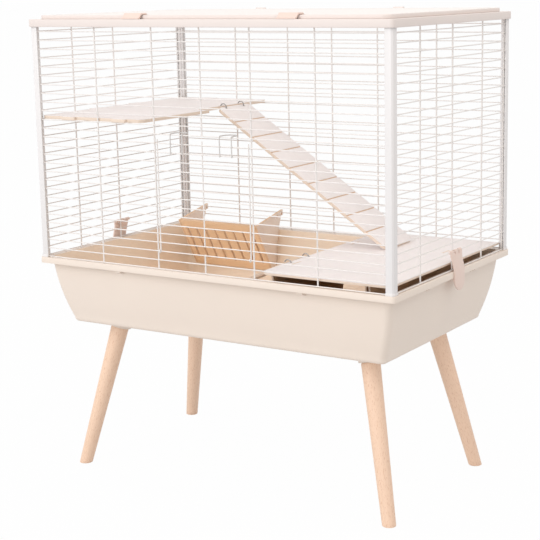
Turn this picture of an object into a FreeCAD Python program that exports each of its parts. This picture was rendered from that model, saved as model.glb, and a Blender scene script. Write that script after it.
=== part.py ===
import FreeCAD, Part
import math
import os
import Sketcher
from types import SimpleNamespace

V = FreeCAD.Vector

# Driving sizes in millimetres. X runs left to right, Y front to back and Z up from the floor,
# with the origin on the floor under the middle of the tray.
SIZES = {
    # Moulded tray
    "rim_width": 775,
    "rim_depth": 477,
    "rim_height": 427.5,
    "rim_skirt": 11,
    "rim_thickness": 3,
    "rim_overhang": 14,
    "rim_corner": 8,
    "tray_wall": 3,
    "tray_corner": 13,
    "tray_floor": 295,
    "tray_waist_rise": 52,
    "tray_waist_inset": 13,
    "tray_base_inset_side": 26,
    "tray_base_inset_front": 26,
    "tray_base_round": 9,
    "lug_spacing": 400,
    "lug_spacing_side": 190,
    "lug_width": 12,
    "lug_reach": 10,
    "lug_height": 20,
    "lug_lip": 12,
    # Legs and their mounts
    "leg_inset_side": 68.5,
    "leg_inset_front": 70.5,
    "leg_splay_side": 66,
    "leg_splay_front": 53,
    "leg_top_diameter": 35,
    "leg_foot_diameter": 25,
    "leg_chamfer": 1.5,
    "leg_bolt_depth": 30,
    "mount_reach": 18,
    "mount_socket_diameter": 44,
    "mount_flange_diameter": 76,
    "mount_flange_thickness": 4,
    "bolt_diameter": 8,
    "bolt_clearance": 0.05,
    # Corner posts and shoes
    "post_inset_side": 3.5,
    "post_inset_front": 3.5,
    "post_leg": 15,
    "post_lip": 13,
    "post_wall": 2.2,
    "post_chamfer": 3,
    "post_slot": 5.6,
    "post_inner_wall": 1.8,
    "shoe_leg": 15,
    "shoe_wall": 1.4,
    "shoe_height": 5,
    # Roof
    "roof_height": 881,
    "roof_thickness": 3,
    "roof_skirt": 14,
    "roof_wall": 3,
    "roof_gap": 0.5,
    "roof_corner": 8,
    "curb_side": 13,
    "curb_front": 13,
    "curb_corner": 20,
    "curb_wall": 3,
    "curb_height": 7,
    "ledge_width": 12,
    "ledge_rise": 2.3,
    # Welded wire panels
    "bar_diameter": 2,
    "upright_diameter": 3,
    "bar_pitch": 16.5,
    "bar_margin": 2,
    "bar_end_gap": 0.6,
    "wire_gap": 0.3,
    "edge_upright_inset": 1.6,
    "upright_inner": 105,
    "upright_outer": 235,
    "upright_side": 125.5,
    # Front door
    "door_gap": 2.7,
    "door_bar_overhang": 1.8,
    "door_upright_diameter": 2.5,
    "door_head_rise": 7,
    "hinge_clearance": 0.1,
    "latch_offset": 53.5,
    "latch_width": 25.5,
    "latch_diameter": 2.2,
    "latch_reach": 24,
    # Roof door and its hinge
    "lid_gap": 7,
    "knuckle_offset": 160,
    "knuckle_width": 22,
    "knuckle_diameter": 7,
    # Tongue clips
    "clip_thickness": 2.7,
    "clip_clearance": 0.3,
    "clip_finger_width": 10,
    "clip_finger_gap": 6.5,
    "clip_finger_length": 9,
    "clip_ring_diameter": 6.4,
    "clip_nose": 2.8,
    "clip_nose_drop": 1,
    "clip_neck_width": 40,
    "clip_tongue_diameter": 41,
    "clip_tongue_length": 24,
    "clip_side_offset": 8.25,
    "roof_clip_left": 144.5,
    "roof_clip_right": 184.5,
    "roof_clip_neck": 38,
    "roof_clip_tongue": 50,
    "roof_clip_margin": 1,
    # Shelf
    "board": 6,
    "shelf_gap": 1,
    "shelf_rest": 0.1,
    "shelf_width": 241.5,
    "shelf_step": 28,
    "shelf_step_depth": 211.5,
    "shelf_chamfer": 8,
    "tab_width": 30,
    "tab_proud": 1,
    "shelf_tab_first": 71.5,
    "shelf_tab_second": 191.5,
    "shelf_tab_spacing": 124,
    # Climbing boards and their rings
    "ring_radius": 7,
    "ring_wire": 2.4,
    "ring_hole": 4.8,
    "ring_edge": 6,
    "ring_spacing": 62,
    "ramp_width": 110,
    "ramp_corner": 12,
    "ramp_end_gap": 2.5,
    "ramp_rest": 0.3,
    "groove_width": 3,
    "groove_depth": 1.5,
    "ramp_length": 456,
    "ramp_from_back": 123.5,
    "lower_ramp_length": 340,
    "lower_ramp_from_front": 131.5,
    # Hide
    "hide_board": 4,
    "hide_width": 261,
    "hide_gap": 4.5,
    "hide_back_gap": 4.5,
    "hide_rise": 10,
    "hide_chamfer": 12,
    "hide_wall_inset_left": 14,
    "hide_wall_inset_right": 52,
    "hide_wall_gap": 18,
    "hide_rest": 0.2,
    "hide_slot_clearance": 0.15,
    "arch_width": 96,
    "arch_lintel": 40,
    # Hay rack
    "rack_board": 5,
    "rack_from_side": 48,
    "rack_width": 199,
    "rack_depth": 84,
    "rack_foot_front": 38,
    "rack_foot_back": 28,
    "rack_reach": 98.5,
    "rack_front_drop": 15,
    "rack_back_inset": 11.5,
    "rack_back_rise": 3,
    "rack_ear_thickness": 4.5,
    "rack_ear_drop": 6,
    "rack_ear_back": 4,
    "rack_hook_clearance": 0.3,
    "rack_hole": 5,
    "rack_hole_inset": 17.5,
    "rack_slot_width": 5.5,
    "rack_slot_margin": 18,
}

# Counts, and the wires that carry something, numbered from the lowest
HINGE_BAR = 2
DOOR_TOP_BAR = 15
SHELF_BAR = 16
RACK_BAR = 2
CLIP_BAR = 2
LATCH_BARS = 2
RAMP_GROOVES = 8
RACK_SLOTS = 8
CLIP_FINGERS = 3

# Angles in degrees
FULL_TURN = 360
LOOP_TURN = 260
RING_OPENING = 50

# Shares of the hide wall's half length at which its tabs and arch stand
HIDE_TABS = (0.45, -0.6)
HIDE_ARCH = 0.42


class Size:
    """A length with the spreadsheet expression that gives it."""

    def __init__(self, value, text=None):
        self.value = float(value)
        self.text = text or "(%s)" % repr(float(value))

    def __float__(self):
        return self.value

    def __add__(self, other):
        other = as_size(other)
        return Size(self.value + other.value, "(%s + %s)" % (self.text, other.text))

    def __sub__(self, other):
        other = as_size(other)
        return Size(self.value - other.value, "(%s - %s)" % (self.text, other.text))

    def __mul__(self, other):
        other = as_size(other)
        return Size(self.value * other.value, "(%s * %s)" % (self.text, other.text))

    def __truediv__(self, other):
        other = as_size(other)
        return Size(self.value / other.value, "(%s / %s)" % (self.text, other.text))

    def __neg__(self):
        return self * -1

    def __radd__(self, other):
        return as_size(other) + self

    def __rsub__(self, other):
        return as_size(other) - self

    def __rmul__(self, other):
        return as_size(other) * self


def as_size(number):
    return number if isinstance(number, Size) else Size(number)


doc = FreeCAD.newDocument("cage")
sheet = doc.addObject("Spreadsheet::Sheet", "Sizes")
size = SimpleNamespace()
for row, (alias, number) in enumerate(SIZES.items(), 1):
    sheet.set("A%d" % row, alias.replace("_", " "))
    sheet.set("B%d" % row, str(number))
    sheet.setAlias("B%d" % row, alias)
    setattr(size, alias, Size(number, "Sizes." + alias))
doc.recompute()

subparts = []


def subpart(shape_object, label):
    """Keep an object as a finished sub-part under its own name."""
    shape_object.Label = label
    subparts.append(shape_object)
    return shape_object


def bind(thing, sizes):
    for prop, length in sizes.items():
        thing.setExpression(prop, as_size(length).text)


def place(thing, x, y, z, rotation=None):
    thing.Placement = FreeCAD.Placement(V(float(x), float(y), float(z)), rotation or FreeCAD.Rotation())
    bind(thing, {"Placement.Base.x": x, "Placement.Base.y": y, "Placement.Base.z": z})


ALONG = {
    "x": FreeCAD.Rotation(V(0, 1, 0), 90),
    "y": FreeCAD.Rotation(V(1, 0, 0), -90),
    "z": FreeCAD.Rotation(),
}


def rod(axis, diameter, start, end, across, above):
    """A straight round bar along X, Y or Z; across and above are its other two coordinates in order."""
    bar = doc.addObject("Part::Cylinder", "bar")
    bind(bar, {"Radius": diameter / 2, "Height": end - start})
    corner = {"x": (start, across, above), "y": (across, start, above), "z": (across, above, start)}[axis]
    place(bar, *corner, ALONG[axis])
    return bar


def box(x0, x1, y0, y1, z0, z1):
    block = doc.addObject("Part::Box", "block")
    bind(block, {"Length": x1 - x0, "Width": y1 - y0, "Height": z1 - z0})
    place(block, x0, y0, z0)
    return block


def group(pieces):
    together = doc.addObject("Part::Compound", "group")
    together.Links = pieces
    return together


def fuse(pieces):
    joined = doc.addObject("Part::MultiFuse", "joined")
    joined.Shapes = pieces
    return joined


def cut(base, tool):
    remainder = doc.addObject("Part::Cut", "cut")
    remainder.Base = base
    remainder.Tool = tool
    return remainder


def sketch_on(body, role, height=0):
    """A sketch on one of the body's own origin planes, raised along the plane's normal."""
    sketch = body.newObject("Sketcher::SketchObject", "outline")
    plane = next(feature for feature in body.Origin.OriginFeatures if feature.Role == role)
    sketch.AttachmentSupport = (plane, [""])
    sketch.MapMode = "FlatFace"
    bind(sketch, {"AttachmentOffset.Base.z": height})
    return sketch


def hold(sketch, kind, line, length, end=1):
    """Tie the end of a line to its bound distance from the sketch's origin."""
    constraint = Sketcher.Constraint(kind, -1, 1, line, end, float(length))
    sketch.setExpression("Constraints[%d]" % sketch.addConstraint(constraint), as_size(length).text)


def polygon(sketch, corners):
    """A closed outline of straight edges through corners given as bound coordinates."""
    first = sketch.GeometryCount
    count = len(corners)
    points = [V(float(u), float(v), 0) for u, v in corners]
    for number in range(count):
        sketch.addGeometry(Part.LineSegment(points[number], points[(number + 1) % count]))
    for number in range(count):
        following = first + (number + 1) % count
        sketch.addConstraint(Sketcher.Constraint("Coincident", first + number, 2, following, 1))
    for number, (u, v) in enumerate(corners):
        hold(sketch, "DistanceX", first + number, u)
        hold(sketch, "DistanceY", first + number, v)


def rectangle(sketch, u0, u1, v0, v1):
    polygon(sketch, [(u0, v0), (u1, v0), (u1, v1), (u0, v1)])


def round_hole(sketch, u, v, diameter):
    hole = sketch.addGeometry(Part.Circle(V(float(u), float(v), 0), V(0, 0, 1), float(diameter) / 2))
    hold(sketch, "DistanceX", hole, u, 3)
    hold(sketch, "DistanceY", hole, v, 3)
    radius = sketch.addConstraint(Sketcher.Constraint("Radius", hole, float(diameter) / 2))
    sketch.setExpression("Constraints[%d]" % radius, (as_size(diameter) / 2).text)


def rounded_rectangle(sketch, width, depth, corner):
    """A rectangle about the sketch's origin, with its corners rounded."""
    first = sketch.GeometryCount
    half_u = float(width) / 2
    half_v = float(depth) / 2
    radius = float(corner)
    signs = [(1, -1), (1, 1), (-1, 1), (-1, -1)]
    centres = [V(u * (half_u - radius), v * (half_v - radius), 0) for u, v in signs]
    for number, centre in enumerate(centres):
        start = math.radians(90 * (number - 1))
        circle = Part.Circle(centre, V(0, 0, 1), radius)
        sketch.addGeometry(Part.ArcOfCircle(circle, start, start + math.pi / 2))
    for number in range(4):
        turn = sketch.Geometry[first + number]
        following = sketch.Geometry[first + (number + 1) % 4]
        sketch.addGeometry(Part.LineSegment(turn.EndPoint, following.StartPoint))
    for number in range(4):
        line = first + 4 + number
        following = first + (number + 1) % 4
        sketch.addConstraint(Sketcher.Constraint("Tangent", first + number, 2, line, 1))
        sketch.addConstraint(Sketcher.Constraint("Tangent", line, 2, following, 1))
    for number in range(3):
        sketch.addConstraint(Sketcher.Constraint("Equal", first, first + number + 1))
    sketch.addConstraint(Sketcher.Constraint("Vertical", first + 4))
    radius_constraint = sketch.addConstraint(Sketcher.Constraint("Radius", first, radius))
    sketch.setExpression("Constraints[%d]" % radius_constraint, as_size(corner).text)
    hold(sketch, "DistanceX", first + 4, as_size(width) / 2)
    hold(sketch, "DistanceY", first + 5, as_size(depth) / 2)
    hold(sketch, "DistanceX", first + 6, as_size(width) / -2)
    hold(sketch, "DistanceY", first + 7, as_size(depth) / -2)


def new_body():
    return doc.addObject("PartDesign::Body", "body")


def pad(body, sketch, length):
    feature = body.newObject("PartDesign::Pad", "pad")
    feature.Profile = sketch
    bind(feature, {"Length": length})
    return feature


def pocket(body, sketch, depth):
    feature = body.newObject("PartDesign::Pocket", "pocket")
    feature.Profile = sketch
    bind(feature, {"Length": depth})
    return feature


def repeat(body, feature, direction, length, count):
    """Repeat a feature in a row along one of its sketch's axes."""
    row_of = body.newObject("PartDesign::LinearPattern", "row")
    row_of.Originals = [feature]
    row_of.Direction = (feature.Profile[0], [direction])
    bind(row_of, {"Length": length})
    row_of.Occurrences = count
    body.Tip = row_of
    return row_of


def bent_wire(path_edges, diameter):
    """A round wire swept along joined straight and curved edges."""
    path = Part.Wire(path_edges)
    start = path_edges[0].valueAt(path_edges[0].FirstParameter)
    ahead = path_edges[0].tangentAt(path_edges[0].FirstParameter)
    section = Part.Wire([Part.makeCircle(float(diameter) / 2, start, ahead)])
    wire = doc.addObject("Part::Feature", "bent_wire")
    wire.Shape = path.makePipeShell([section], True, False)
    wire.Placement = FreeCAD.Placement()
    return wire


def rounded_path(points, bends):
    """Straight runs through the points with an arc of its own radius at each inner point."""
    edges = []
    here = points[0]
    for number, radius in enumerate(bends, 1):
        before = (points[number - 1] - points[number]).normalize()
        after = (points[number + 1] - points[number]).normalize()
        half_turn = before.getAngle(after) / 2
        trim = radius / math.tan(half_turn)
        entry = points[number] + before * trim
        leave = points[number] + after * trim
        middle_way = (before + after).normalize()
        crown = points[number] + middle_way * (radius / math.sin(half_turn) - radius)
        if (entry - here).Length > 0.001:
            edges.append(Part.LineSegment(here, entry).toShape())
        edges.append(Part.Arc(entry, crown, leave).toShape())
        here = leave
    edges.append(Part.LineSegment(here, points[-1]).toShape())
    return edges


# Places that several pieces share

mouth_width = size.rim_width - 2 * size.rim_overhang
mouth_depth = size.rim_depth - 2 * size.rim_overhang
base_width = mouth_width - 2 * size.tray_base_inset_side
base_depth = mouth_depth - 2 * size.tray_base_inset_front
floor_inside = size.tray_floor + size.tray_wall
leg_top_x = base_width / 2 - size.leg_inset_side
leg_top_y = base_depth / 2 - size.leg_inset_front
post_x = size.rim_width / 2 - size.post_inset_side
post_y = size.rim_depth / 2 - size.post_inset_front
post_block = size.post_wall + size.post_slot + size.post_inner_wall
roof_under = size.roof_height - size.roof_thickness
roof_width = 2 * (post_x + size.roof_gap + size.roof_wall)
roof_depth = 2 * (post_y + size.roof_gap + size.roof_wall)
curb_top = size.roof_height + size.curb_height
wire_step = (size.bar_diameter + size.upright_diameter) / 2
panel_x = post_x - size.post_wall - size.wire_gap - size.bar_diameter / 2
panel_y = post_y - size.post_wall - size.wire_gap - size.bar_diameter / 2
upright_x = panel_x - wire_step
upright_y = panel_y - wire_step
clear_x = upright_x - size.upright_diameter / 2
clear_y = upright_y - size.upright_diameter / 2
bar_end_x = post_x - post_block - size.bar_end_gap
bar_end_y = post_y - post_block - size.bar_end_gap
bar_first = size.rim_height + size.bar_margin
bar_top_limit = size.roof_height - size.roof_skirt - size.bar_diameter / 2
bar_count = int((float(bar_top_limit) - float(bar_first)) / float(size.bar_pitch)) + 1
hide_under = size.rim_height + size.hide_rise
hide_top = hide_under + size.hide_board
hide_right = clear_x - size.hide_gap
hide_left = hide_right - size.hide_width


def bar_height(number):
    return bar_first + number * size.bar_pitch


# Tray


def make_tray():
    """A bulging open tray: rounded sections lofted, a flat rim, a skirt and lugs, hollowed the same way."""
    body = new_body()
    base = size.tray_floor + size.tray_base_round
    heights = [base, size.tray_floor + size.tray_waist_rise, size.rim_height]
    widths = [base_width, mouth_width - 2 * size.tray_waist_inset, mouth_width]
    depths = [base_depth, mouth_depth - 2 * size.tray_waist_inset, mouth_depth]

    def loft(kind, sections):
        outlines = []
        for width, depth, height, inset in sections:
            sketch = sketch_on(body, "XY_Plane", height)
            rounded_rectangle(sketch, width - 2 * inset, depth - 2 * inset, size.tray_corner - inset)
            outlines.append(sketch)
        feature = body.newObject("PartDesign::" + kind, "wall")
        feature.Profile = outlines[0]
        feature.Sections = outlines[1:]
        feature.Ruled = False

    def bulge(kind, inset):
        """The sides from the waist up, and the quarter round that turns them into the floor."""
        loft(kind, [(widths[step], depths[step], heights[step], inset) for step in range(3)])
        turn = size.tray_base_round - inset
        part_way = turn * (1 - math.sqrt(0.5))
        lowest = size.tray_floor + inset
        loft(kind, [
            (widths[0], depths[0], lowest, inset + turn),
            (widths[0], depths[0], lowest + part_way, inset + part_way),
            (widths[0], depths[0], base, inset),
        ])

    bulge("AdditiveLoft", Size(0))
    rim = sketch_on(body, "XY_Plane", size.rim_height - size.rim_thickness)
    rounded_rectangle(rim, size.rim_width, size.rim_depth, size.rim_corner)
    pad(body, rim, size.rim_thickness)
    skirt = sketch_on(body, "XY_Plane", size.rim_height - size.rim_skirt)
    rounded_rectangle(skirt, size.rim_width, size.rim_depth, size.rim_corner)
    inner_corner = size.rim_corner - size.rim_thickness
    inner_width = size.rim_width - 2 * size.rim_thickness
    rounded_rectangle(skirt, inner_width, size.rim_depth - 2 * size.rim_thickness, inner_corner)
    pad(body, skirt, size.rim_skirt)
    rows = [
        ("YZ_Plane", mouth_depth / 2, size.lug_spacing),
        ("XZ_Plane", mouth_width / 2, size.lug_spacing_side),
    ]
    under = size.rim_height - size.rim_thickness
    for role, wall, spacing in rows:
        for side in (-1, 1):
            for end in (-1, 1):
                lug = sketch_on(body, role, end * spacing / 2 - size.lug_width / 2)
                root = side * (wall - size.tray_waist_inset)
                tip = side * (wall + size.lug_reach)
                low = under - size.lug_height
                polygon(lug, [(root, under), (tip, under), (tip, under - size.lug_lip), (root, low)])
                pad(body, lug, size.lug_width)
    bulge("SubtractiveLoft", size.tray_wall)
    return subpart(body, "base_tray")


# Legs

CORNERS = {
    "front_left": (-1, -1),
    "front_right": (1, -1),
    "back_right": (1, 1),
    "back_left": (-1, 1),
}


def leg_line(corner):
    """Where a leg's axis meets the tray, and its direction down to the foot."""
    side, end = CORNERS[corner]
    top = V(side * float(leg_top_x), end * float(leg_top_y), float(size.tray_floor))
    way = V(side * float(size.leg_splay_side), end * float(size.leg_splay_front), -float(size.tray_floor))
    return top, way


def on_leg_axis(thing, corner, distance):
    top, way = leg_line(corner)
    start = top + V(way).normalize() * float(distance)
    thing.Placement = FreeCAD.Placement(start, FreeCAD.Rotation(V(0, 0, 1), way))
    return thing


def axis_rod(corner, diameter, start, end):
    bar = doc.addObject("Part::Cylinder", "axis_bar")
    bind(bar, {"Radius": diameter / 2, "Height": end - start})
    return on_leg_axis(bar, corner, start)


def make_leg(corner):
    """A turned tapering leg, bored for its bolt and sawn off level with the floor."""
    length = leg_line(corner)[1].Length
    below = size.leg_foot_diameter
    end = Size(length) - size.mount_reach + below
    taper = (size.leg_top_diameter - size.leg_foot_diameter) / 2 / (length - float(size.mount_reach))
    end_radius = size.leg_foot_diameter / 2 - taper * below
    bore = size.bolt_diameter / 2 + size.bolt_clearance
    top_radius = size.leg_top_diameter / 2
    body = new_body()
    profile = sketch_on(body, "XZ_Plane")
    polygon(profile, [
        (bore, Size(0)),
        (top_radius - size.leg_chamfer, Size(0)),
        (top_radius, size.leg_chamfer),
        (end_radius, end),
        (Size(0), end),
        (Size(0), size.leg_bolt_depth),
        (bore, size.leg_bolt_depth),
    ])
    turned = body.newObject("PartDesign::Revolution", "turned")
    turned.Profile = profile
    turned.ReferenceAxis = (profile, ["V_Axis"])
    turned.Angle = 360
    on_leg_axis(body, corner, size.mount_reach)
    reach = size.rim_width
    floor = box(-reach, reach, -reach, reach, -below * 2, Size(0))
    return subpart(cut(body, floor), "leg_" + corner)


def make_leg_mount(corner):
    """A round flange under the tray with a socket whose end face is square to the splayed leg."""
    side, end = CORNERS[corner]
    rise = size.mount_socket_diameter / 2
    socket = axis_rod(corner, size.mount_socket_diameter, -rise, size.mount_reach)
    reach = size.rim_width
    above = box(-reach, reach, -reach, reach, size.tray_floor, size.tray_floor + size.rim_height)
    flange_low = size.tray_floor - size.mount_flange_thickness
    flange = rod("z", size.mount_flange_diameter, flange_low, size.tray_floor,
                 side * leg_top_x, end * leg_top_y)
    hole = size.bolt_diameter + 2 * size.bolt_clearance
    bore = axis_rod(corner, hole, size.mount_flange_thickness, size.mount_reach + size.leg_bolt_depth)
    return subpart(cut(fuse([flange, cut(socket, above)]), bore), "leg_mount_" + corner)


def make_leg_bolts():
    start = size.mount_flange_thickness + size.bolt_clearance
    end = size.mount_reach + size.leg_bolt_depth - size.bolt_clearance
    bolts = [axis_rod(corner, size.bolt_diameter, start, end) for corner in CORNERS]
    return subpart(group(bolts), "leg_bolts")


# Posts

POST_TURN = {"front_left": 0, "front_right": 90, "back_right": 180, "back_left": 270}


def at_corner(body, corner):
    side, end = CORNERS[corner]
    place(body, side * post_x, end * post_y, Size(0), FreeCAD.Rotation(V(0, 0, 1), POST_TURN[corner]))


def make_post(corner):
    """An angle post with a deep slot on each side for the panel edges, drawn from its outer corner."""
    wall = size.post_wall
    slot = size.post_wall + size.post_slot
    web = size.post_inner_wall * math.sqrt(0.5)
    half = [(size.post_leg, Size(0)), (size.post_leg, wall), (wall + web, wall), (slot + web, slot),
            (size.post_lip, slot), (size.post_lip, post_block), (post_block, post_block)]
    other_half = [(v, u) for u, v in reversed(half[:-1])]
    body = new_body()
    outline = sketch_on(body, "XY_Plane", size.rim_height)
    polygon(outline, [(Size(0), size.post_chamfer), (size.post_chamfer, Size(0))] + half + other_half)
    pad(body, outline, roof_under - size.rim_height)
    at_corner(body, corner)
    return subpart(body, "corner_post_" + corner)


def make_shoe(corner):
    """A low angle that stands on the rim and wraps the outside of a post's foot."""
    wall = size.shoe_wall
    trim = size.post_chamfer
    outer_trim = trim - wall * (math.sqrt(2) - 1)
    body = new_body()
    outline = sketch_on(body, "XY_Plane", size.rim_height)
    polygon(outline, [(-wall, outer_trim), (outer_trim, -wall),
                      (size.shoe_leg, -wall), (size.shoe_leg, Size(0)),
                      (trim, Size(0)), (Size(0), trim), (Size(0), size.shoe_leg), (-wall, size.shoe_leg)])
    pad(body, outline, size.shoe_height)
    at_corner(body, corner)
    return subpart(body, "post_shoe_" + corner)


# Wire panels

upright_foot = size.rim_height + size.wire_gap
upright_head = roof_under - size.wire_gap


def long_bar(end, number, start, finish):
    return rod("x", size.bar_diameter, start, finish, end * panel_y, bar_height(number))


def long_upright(end, x, foot=upright_foot, head=upright_head):
    return rod("z", size.upright_diameter, foot, head, x, end * upright_y)


def edge_upright(bar_end):
    return bar_end - size.edge_upright_inset


def make_back_panel():
    wires = [long_bar(1, number, -bar_end_x, bar_end_x) for number in range(bar_count)]
    columns = [Size(0)]
    for x in (size.upright_inner, size.upright_outer, edge_upright(bar_end_x)):
        columns += [-x, x]
    wires += [long_upright(1, x) for x in columns]
    return subpart(group(wires), "back_wire_panel")


def make_front_panel():
    """The front panel, with the wires between the two middle columns left out for the door."""
    wires = []
    jamb = size.upright_inner - size.upright_diameter / 2
    for number in range(bar_count):
        if HINGE_BAR < number < DOOR_TOP_BAR:
            wires += [long_bar(-1, number, -bar_end_x, -jamb), long_bar(-1, number, jamb, bar_end_x)]
        else:
            wires.append(long_bar(-1, number, -bar_end_x, bar_end_x))
    for x in (size.upright_inner, size.upright_outer, edge_upright(bar_end_x)):
        wires += [long_upright(-1, -x), long_upright(-1, x)]
    overlap = size.bar_diameter / 2
    wires.append(long_upright(-1, Size(0), head=bar_height(HINGE_BAR) + overlap))
    wires.append(long_upright(-1, Size(0), foot=bar_height(DOOR_TOP_BAR) - overlap))
    return subpart(group(wires), "front_wire_panel")


def make_side_panel(side, label):
    wires = [rod("y", size.bar_diameter, -bar_end_y, bar_end_y, side * panel_x, bar_height(number))
             for number in range(bar_count)]
    columns = [Size(0)]
    for y in (size.upright_side, edge_upright(bar_end_y)):
        columns += [-y, y]
    wires += [rod("z", size.upright_diameter, upright_foot, upright_head, side * upright_x, y)
              for y in columns]
    return subpart(group(wires), label)


# Front door, which drops forward on the panel's own wire

hinge_z = bar_height(HINGE_BAR)
loop_radius = (size.bar_diameter + size.door_upright_diameter) / 2 + size.hinge_clearance
door_half = size.upright_inner - size.upright_diameter / 2 - size.door_gap
door_upright_y = -panel_y + loop_radius
door_bar_y = door_upright_y - (size.bar_diameter + size.door_upright_diameter) / 2
door_head = bar_height(DOOR_TOP_BAR - 1) + size.door_head_rise


def looped_upright(x):
    """A door upright whose lower end curls round the hinge wire."""
    radius = float(loop_radius)
    centre = V(float(x), -float(panel_y), float(hinge_z))
    top = V(float(x), float(door_upright_y), float(door_head))

    def on_loop(turn):
        angle = math.radians(turn)
        return centre + V(0, radius * math.cos(angle), -radius * math.sin(angle))

    straight = Part.LineSegment(top, on_loop(0)).toShape()
    curl = Part.Arc(on_loop(0), on_loop(LOOP_TURN / 2), on_loop(LOOP_TURN)).toShape()
    return bent_wire([straight, curl], size.door_upright_diameter)


def make_front_door():
    wires = []
    for number in range(HINGE_BAR + 1, DOOR_TOP_BAR):
        wires.append(rod("x", size.bar_diameter, -door_half, door_half, door_bar_y, bar_height(number)))
    side = door_half - size.door_bar_overhang
    wires += [looped_upright(-side), looped_upright(side)]
    foot = bar_height(HINGE_BAR + 1) - size.bar_diameter / 2
    wires.append(rod("z", size.door_upright_diameter, foot, door_head, Size(0), door_upright_y))
    return subpart(group(wires), "front_door")


def latch_hook(middle):
    """A hairpin welded over the door's top bars, bent back into the cage above the panel wire."""
    half = float(size.latch_width) / 2
    radius = float(size.latch_diameter) / 2
    clear = float(size.bar_diameter) / 2 + float(size.hinge_clearance) + radius
    front = -float(panel_y) - clear
    foot = float(bar_height(DOOR_TOP_BAR - LATCH_BARS) - size.bar_diameter)
    head = float(bar_height(DOOR_TOP_BAR)) + clear
    inside = -float(panel_y) + float(size.latch_reach)
    left = float(middle) - half
    right = float(middle) + half
    points = [V(left, front, foot), V(left, front, head), V(left, inside, head),
              V(right, inside, head), V(right, front, head), V(right, front, foot)]
    end_bend = half - 0.001
    return bent_wire(rounded_path(points, [clear, end_bend, end_bend, clear]), size.latch_diameter)


def make_latch_hooks():
    return subpart(group([latch_hook(-size.latch_offset), latch_hook(size.latch_offset)]), "door_latch_hooks")


# Roof

curb_width = roof_width - 2 * size.curb_side
curb_depth = roof_depth - 2 * size.curb_front
well_width = curb_width - 2 * size.curb_wall
well_depth = curb_depth - 2 * size.curb_wall
opening_x = well_width / 2 - size.ledge_width
opening_y = well_depth / 2 - size.ledge_width
ledge_top = size.roof_height + size.ledge_rise
lid_half = well_width / 2 - size.lid_gap
lid_hinge_y = well_depth / 2 - size.lid_gap
lid_front_y = -lid_hinge_y
lid_cross_z = ledge_top + size.wire_gap + size.upright_diameter / 2
lid_bar_z = lid_cross_z + wire_step


def make_roof_frame():
    """A flat frame with a skirt round the posts."""
    body = new_body()
    inner_corner = size.curb_corner - size.curb_wall - size.ledge_width
    plate = sketch_on(body, "XY_Plane", roof_under)
    rounded_rectangle(plate, roof_width, roof_depth, size.roof_corner)
    rounded_rectangle(plate, 2 * opening_x, 2 * opening_y, inner_corner)
    pad(body, plate, size.roof_thickness)
    skirt = sketch_on(body, "XY_Plane", size.roof_height - size.roof_skirt)
    rounded_rectangle(skirt, roof_width, roof_depth, size.roof_corner)
    wall = size.roof_wall
    rounded_rectangle(skirt, roof_width - 2 * wall, roof_depth - 2 * wall, size.roof_corner - wall)
    pad(body, skirt, size.roof_skirt)
    return subpart(body, "roof_frame")


def ring_strips(outer_x, outer_y, inner_x, inner_y, top):
    """Four straight strips on the roof plate, each as long as the straight part of the curb's side."""
    low = size.roof_height
    x = curb_width / 2 - size.curb_corner
    y = curb_depth / 2 - size.curb_corner
    return [
        box(-x, x, -outer_y, -inner_y, low, top),
        box(-x, x, inner_y, outer_y, low, top),
        box(-outer_x, -inner_x, -y, y, low, top),
        box(inner_x, outer_x, -y, y, low, top),
    ]


def curb_quarter(side, end, turn):
    """A quarter ring that joins two strips of the curb."""
    x = side * (curb_width / 2 - size.curb_corner)
    y = end * (curb_depth / 2 - size.curb_corner)
    quarter = doc.addObject("Part::Cylinder", "quarter")
    quarter.Angle = 90
    bind(quarter, {"Radius": size.curb_corner, "Height": size.curb_height})
    place(quarter, x, y, size.roof_height, FreeCAD.Rotation(V(0, 0, 1), turn))
    bore_diameter = 2 * (size.curb_corner - size.curb_wall)
    return cut(quarter, rod("z", bore_diameter, size.roof_height, curb_top, x, y))


def make_roof_curb():
    """A low curb round the roof opening: four strips and four quarter rings."""
    strips = ring_strips(curb_width / 2, curb_depth / 2, well_width / 2, well_depth / 2, curb_top)
    turns = ((1, 1, 0), (-1, 1, 90), (-1, -1, 180), (1, -1, 270))
    return subpart(group(strips + [curb_quarter(*turn) for turn in turns]), "roof_curb")


def make_lid_rest():
    """Four flat strips inside the curb, which the lid's cross wires rest on."""
    strips = ring_strips(well_width / 2, well_depth / 2, opening_x, opening_y, ledge_top)
    return subpart(group(strips), "lid_rest")


def make_roof_door():
    """A wire lid whose rear bar is its hinge pin and whose cross wires lie on the lid rest."""
    steps = round((float(lid_hinge_y) - float(lid_front_y)) / float(size.bar_pitch))
    pitch = (lid_hinge_y - lid_front_y) / steps
    wires = [rod("x", size.bar_diameter, -lid_half, lid_half, lid_front_y + number * pitch, lid_bar_z)
             for number in range(steps + 1)]
    columns = [Size(0)]
    for x in (size.upright_inner, size.upright_outer, lid_half - size.edge_upright_inset):
        columns += [-x, x]
    front_end = lid_front_y - size.curb_wall / 2
    back_end = lid_hinge_y + size.bar_diameter / 2
    wires += [rod("y", size.upright_diameter, front_end, back_end, x, lid_cross_z) for x in columns]
    return subpart(group(wires), "roof_door")


def make_roof_knuckle(side, label):
    """A hinge block that stands on the rear lid rest against the curb and holds the lid's rear wire."""
    middle = side * size.knuckle_offset
    start = middle - size.knuckle_width / 2
    end = middle + size.knuckle_width / 2
    barrel = rod("x", size.knuckle_diameter, start, end, lid_hinge_y, lid_bar_z)
    radius = size.knuckle_diameter / 2
    foot = box(start, end, lid_hinge_y - radius, well_depth / 2, ledge_top, lid_bar_z)
    bore_diameter = size.bar_diameter + 2 * size.hinge_clearance
    bore = rod("x", bore_diameter, start, end, lid_hinge_y, lid_bar_z)
    return subpart(cut(fuse([barrel, foot]), bore), label)


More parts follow.
